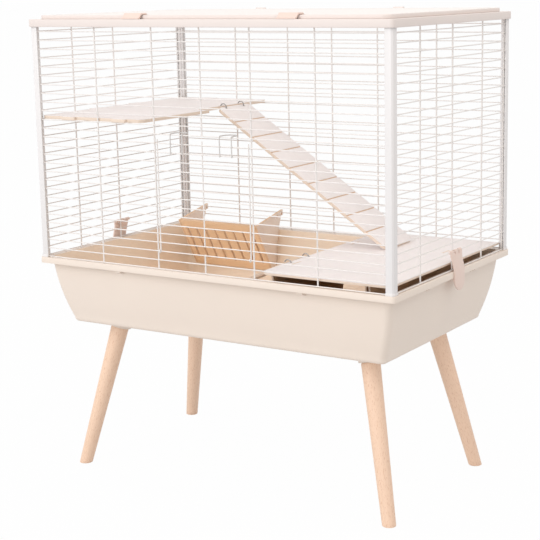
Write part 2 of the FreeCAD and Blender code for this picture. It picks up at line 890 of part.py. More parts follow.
# Tongue clips. A clip is drawn about its wire: X along the wire, Y outwards, Z up from the tongue.


def make_clip(label, profile, neck_width, neck_end, tongue_diameter, tongue_z, where, turn):
    """Three fingers round a wire, a neck and a rounded tongue, cut from one bent strip."""
    half = as_size(tongue_diameter) / 2
    step = size.clip_finger_width + size.clip_finger_gap
    strip_width = tongue_diameter + CLIP_FINGERS * step
    strip = new_body()
    outline = sketch_on(strip, "YZ_Plane", strip_width / -2)
    polygon(outline, profile)
    pad(strip, outline, strip_width)
    depth = size.clip_tongue_diameter
    plan = [box(neck_width / -2, neck_width / 2, -depth, depth, neck_end, -size.clip_finger_length / 2)]
    rings = []
    for number in range(CLIP_FINGERS):
        left = (number - (CLIP_FINGERS - 1) / 2) * step - size.clip_finger_width / 2
        right = left + size.clip_finger_width
        plan.append(box(left, right, -depth, depth, -size.clip_finger_length, size.clip_ring_diameter / 2))
        rings.append(rod("x", size.clip_ring_diameter, left, right, Size(0), Size(0)))
    tongue = rod("y", tongue_diameter, -depth, depth, Size(0), tongue_z)
    below = box(-half, half, -depth, depth, tongue_z - half, -size.clip_finger_length / 2)
    round_end = doc.addObject("Part::Common", "round_end")
    round_end.Base = tongue
    round_end.Tool = below
    trimmed = doc.addObject("Part::Common", "trimmed")
    trimmed.Base = strip
    trimmed.Tool = fuse(plan + [round_end])
    bore_diameter = size.bar_diameter + 2 * size.hinge_clearance
    span = CLIP_FINGERS * step
    bore = rod("x", bore_diameter, span / -2, span / 2, Size(0), Size(0))
    clip = cut(fuse([trimmed] + rings), bore)
    place(clip, *where, turn)
    return subpart(clip, label)


def side_clip(side, label):
    """The clip that hooks under the rim's skirt beside the tray."""
    wall = size.clip_thickness
    skirt_out = size.rim_width / 2 - panel_x
    inner = skirt_out + size.clip_clearance
    rim_z = size.rim_height - bar_height(CLIP_BAR)
    skirt_z = rim_z - size.rim_skirt
    nose_z = skirt_z - size.clip_nose_drop
    tip_z = skirt_z - size.clip_tongue_length
    start = size.bar_diameter / 2 + size.clip_clearance
    finger_end = -size.clip_finger_length
    profile = [
        (start, -size.bar_diameter / 2), (start, finger_end), (inner, rim_z + wall), (inner, nose_z),
        (inner - size.clip_nose, nose_z), (inner - size.clip_nose, nose_z - size.clip_nose_drop),
        (inner, nose_z - 2 * size.clip_nose), (inner + size.clip_nose / 2, tip_z),
        (inner + wall + size.clip_nose / 2, tip_z), (inner + wall, nose_z - 2 * size.clip_nose),
        (inner + wall, rim_z + wall), (start + wall, finger_end + wall / 2), (start + wall, Size(0)),
        (start, Size(0)),
    ]
    tongue_z = tip_z + size.clip_tongue_diameter / 2
    where = (side * panel_x, size.clip_side_offset, bar_height(CLIP_BAR))
    turn = FreeCAD.Rotation(V(0, 0, 1), -90 * side)
    return make_clip(label, profile, size.clip_neck_width, tongue_z, size.clip_tongue_diameter,
                     tongue_z, where, turn)


def roof_clip(x, label):
    """The clip that lies forward from the lid's front wire over the curb onto the roof border."""
    wall = size.clip_thickness
    border = size.roof_height - lid_bar_z + size.clip_clearance
    tip_z = -(roof_depth / 2 + lid_front_y - size.roof_clip_margin)
    start = size.bar_diameter / 2 + size.clip_clearance
    over = -(size.lid_gap + size.curb_wall + wall / 2)
    rest_z = tip_z + 2 * wall
    profile = [
        (start, -size.bar_diameter / 2), (start, over), (border, rest_z), (border, tip_z),
        (border + wall, tip_z), (border + wall, rest_z - wall / 2), (start + wall, over - wall / 2),
        (start + wall, Size(0)), (start, Size(0)),
    ]
    tongue_z = tip_z + size.roof_clip_tongue / 2
    where = (x, lid_front_y, lid_bar_z)
    turn = FreeCAD.Rotation(V(0, 1, 1), 180)
    return make_clip(label, profile, size.roof_clip_neck, tip_z, size.roof_clip_tongue, tongue_z, where, turn)


# Shelf

shelf_under = bar_height(SHELF_BAR) + size.bar_diameter / 2 + size.shelf_rest
shelf_middle = shelf_under + size.board / 2
shelf_left = -(clear_x - size.shelf_gap)
shelf_right = shelf_left + size.shelf_width
shelf_rear_right = shelf_right - size.shelf_step
shelf_back = clear_y - size.shelf_gap
ring_x = shelf_rear_right + size.ring_radius - size.ring_edge
ramp_middle = shelf_back - size.ramp_from_back
lower_ramp_middle = size.lower_ramp_from_front - shelf_back


def make_shelf():
    """A board whose tabs pass between the bars and rest on them, stepped back where the ramp hangs."""
    left = shelf_left
    back = shelf_back
    trim = size.shelf_chamfer
    tab_x = -(panel_x + size.bar_diameter / 2 + size.tab_proud)
    tab_y = panel_y + size.bar_diameter / 2 + size.tab_proud
    half = size.tab_width / 2
    corners = [(left, trim - back), (left + trim, -back)]
    for place_x in (size.shelf_tab_first, size.shelf_tab_second):
        x = left + place_x
        corners += [(x - half, -back), (x - half, -tab_y), (x + half, -tab_y), (x + half, -back)]
    corners += [(shelf_right - trim, -back), (shelf_right, trim - back),
                (shelf_right, size.shelf_step_depth - back), (shelf_rear_right, size.shelf_step_depth - back),
                (shelf_rear_right, back)]
    for place_x in (size.shelf_tab_second - size.tab_width, size.shelf_tab_first):
        x = left + place_x
        corners += [(x + half, back), (x + half, tab_y), (x - half, tab_y), (x - half, back)]
    corners += [(left + trim, back), (left, back - trim)]
    for y in (size.shelf_tab_spacing / 2, size.shelf_tab_spacing / -2):
        corners += [(left, y + half), (tab_x, y + half), (tab_x, y - half), (left, y - half)]
    body = new_body()
    outline = sketch_on(body, "XY_Plane", shelf_under)
    polygon(outline, corners)
    for sign in (-1, 1):
        hole_y = ramp_middle + sign * size.ring_spacing / 2
        round_hole(outline, shelf_rear_right - size.ring_edge, hole_y, size.ring_hole)
    pad(body, outline, size.board)
    return subpart(body, "shelf_board")


# Climbing boards, which hang on open wire rings and turn about the rings' own centres


def ramp_angle(length, drop):
    """Slope at which a board of this length, hung at its middle plane, puts its lower edge on its rest."""
    half = float(size.board) / 2
    reach = math.hypot(float(length), half)
    return math.degrees(math.asin(float(drop) / reach) - math.atan2(half, float(length)))


def make_ramp(label, length, where, turn):
    """A grooved plank with rounded corners and two ring holes at its upper end, drawn from the ring axis."""
    half = size.ramp_width / 2
    middle = (length + size.ramp_end_gap) / 2
    body = new_body()
    outline = sketch_on(body, "XY_Plane", size.board / -2)
    bind(outline, {"AttachmentOffset.Base.x": middle})
    rounded_rectangle(outline, length - size.ramp_end_gap, size.ramp_width, size.ramp_corner)
    for sign in (-1, 1):
        round_hole(outline, size.ring_radius - middle, sign * size.ring_spacing / 2, size.ring_hole)
    pad(body, outline, size.board)
    step = length / (RAMP_GROOVES + 1)
    groove = sketch_on(body, "XY_Plane", size.board / 2)
    rectangle(groove, step - size.groove_width / 2, step + size.groove_width / 2, -half, half)
    row_length = step * (RAMP_GROOVES - 1)
    repeat(body, pocket(body, groove, size.groove_depth), "H_Axis", row_length, RAMP_GROOVES)
    place(body, *where, turn)
    return subpart(body, label)


def make_rings(label, where, middle, turn):
    rings = []
    for sign in (-1, 1):
        ring = doc.addObject("Part::Torus", "ring")
        bind(ring, {"Radius1": size.ring_radius, "Radius2": size.ring_wire / 2})
        bind(ring, {"Angle3": Size(FULL_TURN - RING_OPENING)})
        place(ring, where[0], middle + sign * size.ring_spacing / 2, where[2], turn)
        rings.append(ring)
    return subpart(group(rings), label)


def make_upper_ramp():
    angle = ramp_angle(size.ramp_length, shelf_middle - hide_top - size.ramp_rest)
    where = (ring_x, ramp_middle, shelf_middle)
    make_ramp("ramp_board", size.ramp_length, where, FreeCAD.Rotation(V(0, 1, 0), angle))
    opening = FreeCAD.Rotation(V(0, 1, 0), 125) * FreeCAD.Rotation(V(1, 0, 0), 90)
    make_rings("ramp_rings", where, ramp_middle, opening)


def make_lower_ramp():
    hide_middle = hide_under + size.hide_board / 2
    angle = ramp_angle(size.lower_ramp_length, hide_middle - floor_inside - size.ramp_rest)
    where = (hide_left - size.ring_radius + size.ring_edge, lower_ramp_middle, hide_middle)
    slope = FreeCAD.Rotation(V(0, 1, 0), -angle) * FreeCAD.Rotation(V(0, 0, 1), 180)
    make_ramp("lower_ramp_board", size.lower_ramp_length, where, slope)
    opening = FreeCAD.Rotation(V(0, 1, 0), 150) * FreeCAD.Rotation(V(1, 0, 0), 90)
    make_rings("lower_ramp_rings", where, lower_ramp_middle, opening)


# Hide

hide_front = -(clear_y - size.hide_gap)
hide_back = clear_y - size.hide_back_gap
hide_wall_left = hide_left + size.hide_wall_inset_left
hide_wall_right = hide_right - size.hide_wall_inset_right
hide_wall_foot = base_depth / 2 - size.hide_wall_gap
hide_wall_head = mouth_depth / 2 - size.hide_wall_gap
hide_foot = floor_inside + size.hide_rest


def make_hide_roof():
    body = new_body()
    outline = sketch_on(body, "XY_Plane", hide_under)
    trim = size.hide_chamfer
    polygon(outline, [(hide_left + trim, hide_front), (hide_right, hide_front), (hide_right, hide_back),
                      (hide_left, hide_back), (hide_left, hide_front + trim)])
    for sign in (-1, 1):
        hole_y = lower_ramp_middle + sign * size.ring_spacing / 2
        round_hole(outline, hide_left + size.ring_edge, hole_y, size.ring_hole)
    gap = size.hide_slot_clearance
    half = size.tab_width / 2 + gap
    for x in (hide_wall_left, hide_wall_right):
        for share in HIDE_TABS:
            y = share * hide_wall_head
            rectangle(outline, x - gap, x + size.hide_board + gap, y - half, y + half)
    pad(body, outline, size.hide_board)
    return subpart(body, "hide_roof")


def hide_side(x):
    """A wall that follows the tray's taper, with two tabs up through the hide's roof."""
    half = size.tab_width / 2
    corners = [(-hide_wall_foot, hide_foot), (hide_wall_foot, hide_foot), (hide_wall_head, hide_under)]
    for share in HIDE_TABS:
        y = share * hide_wall_head
        corners += [(y + half, hide_under), (y + half, hide_top)]
        corners += [(y - half, hide_top), (y - half, hide_under)]
    corners.append((-hide_wall_head, hide_under))
    body = new_body()
    outline = sketch_on(body, "YZ_Plane", x)
    polygon(outline, corners)
    pad(body, outline, size.hide_board)
    return body


def make_hide_walls():
    """Two side walls, the left one with an arched doorway, and a back wall between them."""
    inside = hide_wall_left + size.hide_board
    radius = size.arch_width / 2
    middle = HIDE_ARCH * hide_wall_head
    spring = hide_under - size.arch_lintel - radius
    lower = box(hide_wall_left, inside, middle - radius, middle + radius, size.tray_floor, spring)
    crown = rod("x", size.arch_width, hide_wall_left, inside, middle, spring)
    subpart(cut(hide_side(hide_wall_left), fuse([lower, crown])), "hide_left_wall")
    subpart(hide_side(hide_wall_right), "hide_right_wall")
    back_face = hide_wall_foot - size.hide_board
    back = box(inside, hide_wall_right, back_face, hide_wall_foot, hide_foot, hide_under)
    subpart(back, "hide_back_wall")


# Hay rack

rack_left = size.rack_from_side - clear_x
rack_wire_z = bar_height(RACK_BAR)
rack_front_y = panel_y - size.rack_reach
rack_front_z = rack_wire_z - size.rack_front_drop
rack_foot_y = panel_y - size.rack_foot_front
rack_foot_z = size.rim_height - size.rack_depth


def make_rack_cheek(x, label):
    """A side of the V-shaped rack, with an ear that hooks over the back panel's wire."""
    reach = size.bar_diameter / 2 + size.rack_hook_clearance
    seat = rack_wire_z + reach
    ear_low = rack_wire_z - size.rack_ear_drop
    ear_top = seat + size.rack_ear_thickness
    ear_back = panel_y + reach + size.rack_ear_back
    body = new_body()
    outline = sketch_on(body, "YZ_Plane", x)
    polygon(outline, [
        (rack_foot_y, rack_foot_z), (panel_y - size.rack_foot_back, rack_foot_z),
        (panel_y - size.rack_back_inset, size.rim_height + size.rack_back_rise), (panel_y - reach, ear_low),
        (panel_y - reach, seat), (panel_y + reach, seat), (panel_y + reach, ear_low), (ear_back, ear_low),
        (ear_back, ear_top), (rack_front_y, rack_front_z),
    ])
    round_hole(outline, panel_y - size.rack_hole_inset, ear_low, size.rack_hole)
    pad(body, outline, size.rack_board)
    return subpart(body, label)


def make_rack_front():
    """The slatted front, slanting from the rack's foot out to its upper front edge."""
    run = float(rack_front_y - rack_foot_y)
    rise = float(rack_front_z - rack_foot_z)
    length = Size(math.hypot(run, rise))
    width = size.rack_width - 2 * size.rack_board
    body = new_body()
    outline = sketch_on(body, "XY_Plane", -size.rack_board)
    rectangle(outline, Size(0), width, Size(0), length)
    pad(body, outline, size.rack_board)
    step = width / RACK_SLOTS
    slot = sketch_on(body, "XY_Plane")
    margin = size.rack_slot_margin
    half = size.rack_slot_width / 2
    rectangle(slot, step / 2 - half, step / 2 + half, margin, length - margin)
    repeat(body, pocket(body, slot, size.rack_board), "H_Axis", step * (RACK_SLOTS - 1), RACK_SLOTS)
    slant = FreeCAD.Rotation(V(1, 0, 0), math.degrees(math.atan2(rise, run)))
    place(body, rack_left + size.rack_board, rack_foot_y, rack_foot_z, slant)
    return subpart(body, "hay_rack_front")


# Build everything

make_tray()
for name in CORNERS:
    make_leg(name)
    make_leg_mount(name)
    make_post(name)
    make_shoe(name)
make_leg_bolts()
make_front_panel()
make_back_panel()
make_side_panel(-1, "left_wire_panel")
make_side_panel(1, "right_wire_panel")
make_front_door()
make_latch_hooks()
make_roof_frame()
make_roof_curb()
make_lid_rest()
make_roof_door()
make_roof_knuckle(-1, "roof_hinge_left")
make_roof_knuckle(1, "roof_hinge_right")
roof_clip(-size.roof_clip_left, "roof_clip_left")
roof_clip(size.roof_clip_right, "roof_clip_right")
side_clip(-1, "side_clip_left")
side_clip(1, "side_clip_right")
make_shelf()
make_upper_ramp()
make_lower_ramp()
make_hide_roof()
make_hide_walls()
make_rack_cheek(rack_left, "hay_rack_left")
make_rack_cheek(rack_left + size.rack_width - size.rack_board, "hay_rack_right")
make_rack_front()

doc.recompute()
failed = [thing.Label for thing in doc.Objects if "Invalid" in thing.State or "Error" in thing.State]
if failed:
    raise RuntimeError("objects that failed: " + ", ".join(failed))
for piece in subparts:
    if piece.Shape.isNull() or not piece.Shape.isValid():
        raise RuntimeError("bad shape: " + piece.Label)

os.makedirs("parts", exist_ok=True)
for piece in subparts:
    piece.Shape.exportStep("parts/%s.step" % piece.Label)
    bounds = piece.Shape.BoundBox
    print("%-28s %3d solids %12.1f mm3  x %8.1f %8.1f  y %8.1f %8.1f  z %8.1f %8.1f" % (
        piece.Label, len(piece.Shape.Solids), piece.Shape.Volume, bounds.XMin, bounds.XMax,
        bounds.YMin, bounds.YMax, bounds.ZMin, bounds.ZMax))
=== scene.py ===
"""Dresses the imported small-animal cage: softened pieces, finishes, studio and camera."""

import math

import bmesh
import bpy
from bpy.props import FloatProperty, FloatVectorProperty, PointerProperty
from mathutils import Matrix, Vector
from mathutils.bvhtree import BVHTree


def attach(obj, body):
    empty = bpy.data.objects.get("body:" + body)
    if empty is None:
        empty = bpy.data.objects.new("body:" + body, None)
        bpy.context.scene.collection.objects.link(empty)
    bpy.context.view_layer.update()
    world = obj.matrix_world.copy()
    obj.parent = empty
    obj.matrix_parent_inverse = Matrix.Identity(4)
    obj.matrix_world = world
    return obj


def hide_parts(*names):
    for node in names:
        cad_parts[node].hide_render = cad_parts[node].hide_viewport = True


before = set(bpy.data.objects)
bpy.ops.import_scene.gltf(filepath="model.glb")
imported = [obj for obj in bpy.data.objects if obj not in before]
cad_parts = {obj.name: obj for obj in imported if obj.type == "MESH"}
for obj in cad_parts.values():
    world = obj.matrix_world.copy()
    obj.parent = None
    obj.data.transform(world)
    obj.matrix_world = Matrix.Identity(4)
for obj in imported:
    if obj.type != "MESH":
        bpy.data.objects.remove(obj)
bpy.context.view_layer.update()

bl_info = {
    "name": "Cage Dresser",
    "version": (1, 0, 0),
    "blender": (4, 5, 0),
    "location": "View3D > Sidebar > Cage",
    "description": "Builds the finished pieces of a wire cage on legs over its packed frame",
    "category": "Object",
}

CORNERS = ("front_left", "front_right", "back_right", "back_left")
WIRE_NODES = {
    "front_wire_panel": "cage",
    "back_wire_panel": "cage",
    "left_wire_panel": "cage",
    "right_wire_panel": "cage",
    "front_door": "front_door",
    "roof_door": "roof_door",
}
ROOF_NODES = ("roof_frame", "roof_curb", "lid_rest")
HINGE_NODES = ("roof_hinge_left", "roof_hinge_right")
CLIP_NODES = ("roof_clip_left", "roof_clip_right", "side_clip_left", "side_clip_right")
CLIMBING_NODES = {"ramp_board": "upper_ramp", "lower_ramp_board": "lower_ramp"}
HIDE_WALLS = ("hide_left_wall", "hide_right_wall", "hide_back_wall")
RING_NODES = {"ramp_rings": "upper_ramp", "lower_ramp_rings": "lower_ramp"}

# Settings


def paint(red, green, blue):
    """A display colour of 0 to 255 a channel as the linear colour that a shader takes."""
    def channel(value):
        part = value / 255
        return part / 12.92 if part <= 0.04045 else ((part + 0.055) / 1.055) ** 2.4
    return tuple(channel(value) for value in (red, green, blue))


def colour_property(name, description, default):
    return FloatVectorProperty(name=name, description=description, subtype="COLOR", size=3,
                               min=0.0, max=1.0, default=default)


def length_property(name, description, default):
    return FloatProperty(name=name, description=description, unit="LENGTH", min=0.0,
                         default=default)


def power_property(name, description, default):
    return FloatProperty(name=name, description=description, unit="POWER", default=default)


def angle_property(name, description, degrees):
    return FloatProperty(name=name, description=description, subtype="ANGLE",
                         default=math.radians(degrees))


class CageColours(bpy.types.PropertyGroup):
    """Colours of the cage's finishes"""

    tray: colour_property("Tray", "Outside of the tray and the leg mounts", paint(239, 225, 213))
    # The tray's inside is the same plastic painted warmer and lighter: painted bounce light.
    tray_inside_painted_bounce: colour_property("Tray inside", "Inside of the tray", paint(255, 236, 216))
    roof: colour_property("Roof", "Roof frame, curb, lid rest and hinges", paint(234, 223, 218))
    post: colour_property("Posts", "Corner posts and shoes", paint(235, 232, 232))
    # The slots are the post plastic painted lighter than it is, to cancel the shade in them.
    slot: colour_property("Post slots", "Inside of the posts' slots", paint(252, 251, 251))
    clip: colour_property("Clips", "Tongue clips", paint(236, 213, 202))
    wire: colour_property("Wire", "Coated wire", paint(238, 233, 230))
    hook: colour_property("Latch hooks", "Coated wire of the latch hooks", paint(212, 208, 206))
    face: colour_property("Board face", "Broad faces of the boards", paint(246, 238, 236))
    edge: colour_property("Board edge", "Sawn edges of the boards", paint(240, 221, 204))
    # The groove floors are painted darker and browner than the board face: painted shade in the
    # grooves.
    groove_shade: colour_property("Grooves", "Floors of the boards' grooves", paint(232, 203, 178))
    # The hide walls are darker than the roof board: partly the wood's tone, partly painted shade
    # of the hide's dark inside.
    hide: colour_property("Hide walls", "Walls of the hide", paint(226, 184, 146))
    rack: colour_property("Rack front", "Slatted front of the hay rack", paint(255, 217, 180))
    cheek: colour_property("Rack cheeks", "Sides of the hay rack", paint(255, 235, 222))
    beech: colour_property("Beech", "Turned legs", paint(246, 212, 186))
    fleck: colour_property("Beech fleck", "Short dark flecks in the beech", paint(212, 166, 134))
    zinc: colour_property("Zinc", "Bolts under the tray", paint(190, 190, 188))
    ring: colour_property("Rings", "Wire rings of the climbing boards", paint(176, 172, 170))


class CageEdges(bpy.types.PropertyGroup):
    """How far each kind of piece has its edges rounded"""

    moulding: length_property("Moulding", "Rounding of the tray and roof edges", 0.0012)
    post: length_property("Post", "Rounding of post and shoe edges", 0.0004)
    board: length_property("Board", "Rounding of sawn board edges", 0.0005)
    clip: length_property("Clip", "Rounding of clip, hinge and leg mount edges", 0.0006)
    leg: length_property("Leg", "Rounding of the legs' ends", 0.0012)


class CageStudio(bpy.types.PropertyGroup):
    """Lamps, floor and camera"""

    key_power: power_property("Key", "Power of the large front lamp", 170.0)
    fill_power: power_property("Fill", "Power of the lamp on the right", 19.0)
    front_power: power_property("Front", "Power of the low lamp in front", 12.0)
    warmth: colour_property("Fill colour", "Colour of the lamp on the right", paint(255, 238, 218))
    sky: FloatProperty(name="Sky", description="Strength of the even light", default=0.84)
    floor: colour_property("Floor", "Colour of the floor", paint(214, 214, 214))
    lens: FloatProperty(name="Lens", description="Focal length", unit="CAMERA", default=92.591)
    distance: length_property("Distance", "From the camera to the point it looks at", 2.660783)
    azimuth: angle_property("Azimuth", "Round the cage from the front", 31.76)
    elevation: angle_property("Elevation", "Above the horizon", 11.12)
    roll: angle_property("Roll", "Turn about the line of sight", 0.988)
    target: FloatVectorProperty(name="Target", description="Point that the camera looks at",
                                subtype="TRANSLATION", default=(0.058101, 0.0, 0.428108))
    shift_across: FloatProperty(name="Shift across", description="Sideways shift of the frame",
                                default=-0.0556)
    shift_up: FloatProperty(name="Shift up", description="Upward shift of the frame",
                            default=-0.0278)


# Shader values and materials


class Value:
    """A shader socket; arithmetic on it adds Math nodes to its material."""

    def __init__(self, finish, socket):
        self.finish = finish
        self.socket = socket

    def math(self, operation, *operands):
        return self.finish.node("ShaderNodeMath", {"operation": operation},
                                dict(enumerate(operands)))

    def __add__(self, other):
        return self.math("ADD", self, other)

    def __sub__(self, other):
        return self.math("SUBTRACT", self, other)

    def __rsub__(self, other):
        return self.math("SUBTRACT", other, self)

    def __mul__(self, other):
        return self.math("MULTIPLY", self, other)

    def __or__(self, other):
        return self.math("MAXIMUM", self, other)

    __radd__ = __add__
    __rmul__ = __mul__
    __ror__ = __or__


class Nodes:
    """A node tree whose nodes all come from one method."""

    def __init__(self, tree):
        self.tree = tree

    def node(self, kind, settings=None, sockets=None, output=0):
        made = self.tree.nodes.new(kind)
        for name, value in (settings or {}).items():
            if name == "stops":
                ramp = made.color_ramp
                while len(ramp.elements) < len(value):
                    ramp.elements.new(1.0)
                for element, (position, colour) in zip(ramp.elements, value):
                    element.position = position
                    element.color = (*colour, 1.0)
            else:
                setattr(made, name, value)
        for name, value in (sockets or {}).items():
            self.feed(made.inputs[name], value)
        return Value(self, made.outputs[output])

    def feed(self, socket, value):
        if isinstance(value, Value):
            self.tree.links.new(value.socket, socket)
        else:
            socket.default_value = value

    def seen(self):
        """1 for rays from the camera, mirrored ones and ones through glass, 0 for the others."""
        path = self.node("ShaderNodeLightPath").socket.node.outputs
        camera, glossy, through = (Value(self, path[ray]) for ray in (
            "Is Camera Ray", "Is Glossy Ray", "Is Transmission Ray"))
        return camera | glossy | through

    def show(self, factor, low, high):
        """Put a mix of two shaders, by a factor, on the tree's output."""
        mixed = self.node("ShaderNodeMixShader", {}, {0: factor, 1: low, 2: high})
        output = next(node for node in self.tree.nodes if node.type.startswith("OUTPUT_"))
        self.feed(output.inputs["Surface"], mixed)


class Finish(Nodes):
    """A material of one Principled shader and the nodes that feed it."""

    def __init__(self, name, constants=None):
        self.material = bpy.data.materials.new(name)
        self.material.use_nodes = True
        super().__init__(self.material.node_tree)
        self.shader = self.tree.nodes["Principled BSDF"]
        self.surface(constants or {})

    def surface(self, sockets):
        for name, value in sockets.items():
            self.feed(self.shader.inputs[name], value)

    def place(self):
        """Object coordinates."""
        return self.node("ShaderNodeTexCoord", output=3)

    def mapped(self, vector, scale, rotation=(0, 0, 0)):
        turned = self.node("ShaderNodeMapping", {}, {"Vector": vector, "Rotation": rotation})
        return self.node("ShaderNodeMapping", {}, {"Vector": turned, "Scale": scale})

    def noise(self, vector, scale=1.0, detail=2.0, roughness=0.5):
        return self.node("ShaderNodeTexNoise", {}, {
            "Vector": vector, "Scale": scale, "Detail": detail, "Roughness": roughness})

    def between(self, factor, low, high):
        """A colour from low to high, where each end is a colour or the value of another node."""
        ends = [end if isinstance(end, Value) else (*end, 1.0) for end in (low, high)]
        return self.node("ShaderNodeMix", {"data_type": "RGBA"},
                         {0: factor, 6: ends[0], 7: ends[1]}, output=2)

    def steep(self, value, low, high):
        """A mask that is 0 up to low and 1 from high on."""
        stops = [(low, (0, 0, 0)), (high, (1, 1, 1))]
        return self.node("ShaderNodeValToRGB", {"stops": stops}, {"Fac": value})

    def bump(self, height, strength, distance):
        normal = self.node("ShaderNodeBump", {}, {
            "Strength": strength, "Distance": distance, "Height": height})
        self.surface({"Normal": normal})


def shade(colour, factor):
    return tuple(min(1.0, channel * factor) for channel in colour)


def moulded(name, colour, roughness=0.42):
    """Injection-moulded plastic with a fine spark-eroded grain, flow clouds and rubbed gloss."""
    finish = Finish(name, {"Specular IOR Level": 0.4})
    place = finish.place()
    cloud = finish.noise(place, scale=7.0, detail=3.0)
    rub = finish.noise(finish.mapped(place, scale=(14, 14, 60)), detail=3.0)
    grain = finish.noise(place, scale=1500.0, detail=1.0)
    sway = 0.08
    finish.surface({
        "Base Color": finish.between(cloud, shade(colour, 0.965), shade(colour, 1.02)),
        "Roughness": cloud * sway + rub * sway + (roughness - sway)})
    finish.bump(grain + rub * 0.2, strength=0.12, distance=0.0002)
    return finish.material


def lightened_slot_plastic(name, colour):
    """Post plastic painted lighter and matt, to cancel the shade in the slots, with a little dust
    in it.
    """
    finish = Finish(name, {"Specular IOR Level": 0.2})
    dust = finish.noise(finish.place(), scale=260.0, detail=3.0)
    finish.surface({
        "Base Color": finish.between(dust, shade(colour, 0.92), colour),
        "Roughness": dust * 0.15 + 0.7})
    return finish.material


def coated_wire(name, colour):
    """Powder-coated wire with a slight orange peel."""
    finish = Finish(name, {"Coat Weight": 0.15, "Coat Roughness": 0.2})
    place = finish.place()
    peel = finish.noise(place, scale=900.0)
    cloud = finish.noise(place, scale=25.0)
    finish.surface({
        "Base Color": finish.between(cloud, shade(colour, 0.96), colour),
        "Roughness": peel * 0.15 + 0.28})
    finish.bump(peel, strength=0.1, distance=0.0002)
    return finish.material


def zinc(name, colour):
    """Bright zinc with a fine spangle."""
    finish = Finish(name, {"Metallic": 1.0})
    spangle = finish.noise(finish.place(), scale=600.0)
    finish.surface({
        "Base Color": finish.between(spangle, shade(colour, 0.85), colour),
        "Roughness": spangle * 0.2 + 0.22})
    return finish.material


def turned_beech(name, colour, fleck, along):
    """Beech with grain along the leg and the short dark flecks of its rays."""
    finish = Finish(name, {"Coat Weight": 0.08, "Coat Roughness": 0.35})
    turn = Vector((0, 0, 1)).rotation_difference(along).inverted().to_euler()
    place = finish.place()
    grain = finish.noise(finish.mapped(place, (160, 160, 7), turn), detail=4.0, roughness=0.6)
    ray = finish.noise(finish.mapped(place, (1000, 1000, 170), turn), detail=1.0)
    broad = finish.noise(finish.mapped(place, (28, 28, 3), turn))
    dash = finish.steep(ray, low=0.60, high=0.68)
    wood = finish.between(grain, shade(colour, 0.90), shade(colour, 1.08))
    wood = finish.between(broad * 0.5, wood, shade(colour, 0.93))
    finish.surface({
        "Base Color": finish.between(dash * 0.6, wood, fleck),
        "Roughness": grain * 0.15 + 0.40})
    finish.bump(grain - dash * 0.4, strength=0.12, distance=0.0004)
    return finish.material


def board_face(name, colour, along, depth=0.05):
    """Sanded board with long grain; depth is how far the grain darkens and lightens it."""
    finish = Finish(name)
    turn = Vector((1, 0, 0)).rotation_difference(along).inverted().to_euler()
    place = finish.place()
    grain = finish.noise(finish.mapped(place, (6, 170, 170), turn), detail=4.0, roughness=0.6)
    cloud = finish.noise(finish.mapped(place, (5, 11, 11), turn))
    tone = finish.between(grain, shade(colour, 1 - depth), shade(colour, 1 + depth))
    finish.surface({
        "Base Color": finish.between(cloud * 0.4, tone, shade(colour, 1 - depth)),
        "Roughness": grain * 0.12 + 0.48})
    finish.bump(grain, strength=0.08, distance=0.0003)
    return finish.material


def board_edge(name, colour, normal):
    """Sawn edge with the layers of the board showing as thin lines, one every 1.9 mm."""
    finish = Finish(name)
    place = finish.place()
    depth = finish.node("ShaderNodeVectorMath", {"operation": "DOT_PRODUCT"},
                        {0: place, 1: tuple(normal)}, output=1)
    radians_per_metre = 3300.0
    layer = depth.math("SINE", depth * radians_per_metre)
    fibre = finish.noise(place, scale=420.0, detail=3.0)
    tone = finish.between(layer * 0.5 + 0.5, shade(colour, 0.90), shade(colour, 1.05))
    finish.surface({
        "Base Color": finish.between(fibre * 0.4, tone, shade(colour, 0.84)),
        "Roughness": fibre * 0.1 + 0.55})
    finish.bump(fibre, strength=0.2, distance=0.0003)
    return finish.material


def shaded_groove_finish(name, colour):
    """Floor of a milled groove, painted darker and browner than the face as painted shade, and
    fuzzy.
    """
    finish = Finish(name)
    fibre = finish.noise(finish.place(), scale=500.0, detail=3.0)
    finish.surface({
        "Base Color": finish.between(fibre, shade(colour, 0.8), shade(colour, 1.1)),
        "Roughness": fibre * 0.1 + 0.6})
    finish.bump(fibre, strength=0.2, distance=0.0003)
    return finish.material


# Meshes

SHARP = math.radians(32)      # edges turned further than this are rounded or kept crisp
COPLANAR = math.radians(0.4)  # triangles turned less than this become one face
WELD = 2e-6                   # metres; points nearer than this become one
TOUCHING = 1e-6               # metres; faces nearer than this lie against each other
OPPOSED = -0.99               # dot product of the normals of two faces that meet flat
BROADSIDE = 0.8               # least dot product of a board's broad face with its normal
IN_PLANE = 0.2                # greatest dot product of a run along the board with its normal
RAY_LIFT = 0.0005             # metres that a ray starts off its face


def open_seams(mesh):
    """Remove the faces where two solids of one node lie against each other."""
    tree = BVHTree.FromBMesh(mesh)

    def covered(face):
        near = tree.find_nearest_range(face.calc_center_median(), TOUCHING)
        return any(normal.dot(face.normal) < OPPOSED for _, normal, _, _ in near)

    bmesh.ops.delete(mesh, geom=[face for face in mesh.faces if covered(face)], context="FACES")


